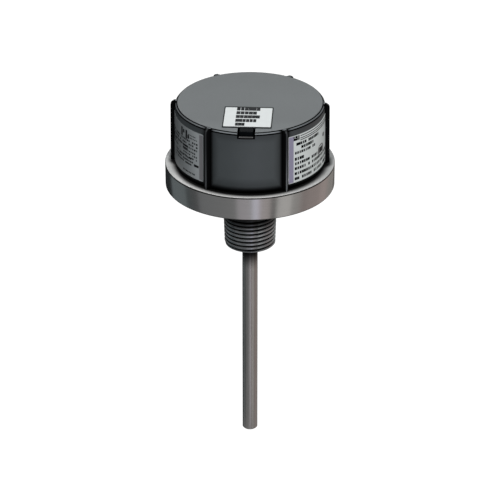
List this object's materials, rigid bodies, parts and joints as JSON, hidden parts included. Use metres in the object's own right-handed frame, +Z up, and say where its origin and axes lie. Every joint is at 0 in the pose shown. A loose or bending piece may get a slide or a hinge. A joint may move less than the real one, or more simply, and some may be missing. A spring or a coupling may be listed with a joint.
{
  "type": "level transmitter",
  "caption": "Screw-in level transmitter: stainless flange with taper pipe thread and straight probe rod, and a ribbed black lift-off cover over a battery-powered circuit board.",
  "frame": {"origin": "on the thread axis, in the plane of the flange's underside", "axes": "+Z up along the thread axis, from the probe's tip towards the cover; -Y is the front, where the magnet sits in the cover's rim"},
  "size_m": [0.0686, 0.0686, 0.1531],
  "materials": {
    "turned_stainless": "turned",
    "drawn_stainless": "drawn",
    "stainless_small": "satin",
    "white_insulator": "waxy",
    "seal_rubber": "smooth",
    "gold_contact": "plated",
    "brass": "turned",
    "board_green": "solder mask",
    "black_inner_plastic": "moulded",
    "ivory_plastic": "moulded",
    "nickel_sheet": "plated sheet",
    "cell_sleeve": "shrunk sleeve",
    "capacitor_can": "sleeved",
    "reed_glass": "clear",
    "cover_plastic": "moulded, fine texture",
    "magnet_black": "coated",
    "white_label": "printed film",
    "silver_label": "printed film"
  },
  "bodies": {
    "transmitter": {"process_fitting": "turned_stainless", "gland_nut": "stainless_small", "probe_insulator": "white_insulator", "insulator_seal": "seal_rubber", "rod_seal": "seal_rubber", "probe_rod": "drawn_stainless", "clamp_washer": "stainless_small", "spring_washer": "stainless_small", "probe_nut": "stainless_small", "probe_contact": "gold_contact", "cover_seal": "seal_rubber", "board_standoffs": "brass", "circuit_board": "board_green", "board_screws": "stainless_small", "battery_tray": "black_inner_plastic", "battery_terminals": "nickel_sheet", "battery_cell": "cell_sleeve", "radio_module": "nickel_sheet", "antenna": "gold_contact", "microcontroller": "black_inner_plastic", "crystal": "nickel_sheet", "storage_capacitor": "capacitor_can", "service_plug": "ivory_plastic", "reed_board": "board_green", "reed_switch": "reed_glass"},
    "cover": {"cover": "cover_plastic", "magnet": "magnet_black", "instruction_label": "white_label", "rating_label_left": "silver_label", "rating_label_right": "silver_label"}
  },
  "joints": [
    {"name": "cover_lift", "type": "slide", "parent": "transmitter", "child": "cover", "axis": [0, 0, 1], "range_m": [0, 0.04]}
  ]
}
